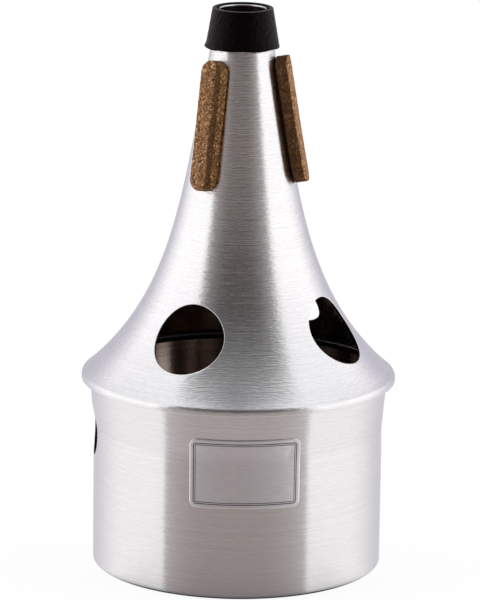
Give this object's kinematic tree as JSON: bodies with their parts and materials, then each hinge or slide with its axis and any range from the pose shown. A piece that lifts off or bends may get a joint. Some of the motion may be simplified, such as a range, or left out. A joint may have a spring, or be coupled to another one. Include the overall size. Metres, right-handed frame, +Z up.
{
  "type": "trumpet bucket mute",
  "caption": "Trumpet bucket mute: a spun aluminium cone that opens over a closed cup, with sound holes, cork strips and a black end sleeve.",
  "frame": {"origin": "middle of the bucket's flat base, on the surface that the mute stands on", "axes": "+Z up along the mute's axis, -Y towards the viewer of the label, +X to the viewer's right"},
  "size_m": [0.109, 0.109, 0.1944],
  "materials": {
    "spun_aluminium": "turned on a lathe and brushed around the axis, satin",
    "black_rubber": "matt and grainy",
    "cork": "pressed granulated cork, sanded and matt",
    "label_foil": "thin brushed foil plate, blank"
  },
  "bodies": {
    "root": {"bucket": "spun_aluminium", "flare": "spun_aluminium", "end_sleeve": "black_rubber", "cork_strip_1": "cork", "cork_strip_2": "cork", "cork_strip_3": "cork", "label_plate": "label_foil"}
  },
  "joints": []
}
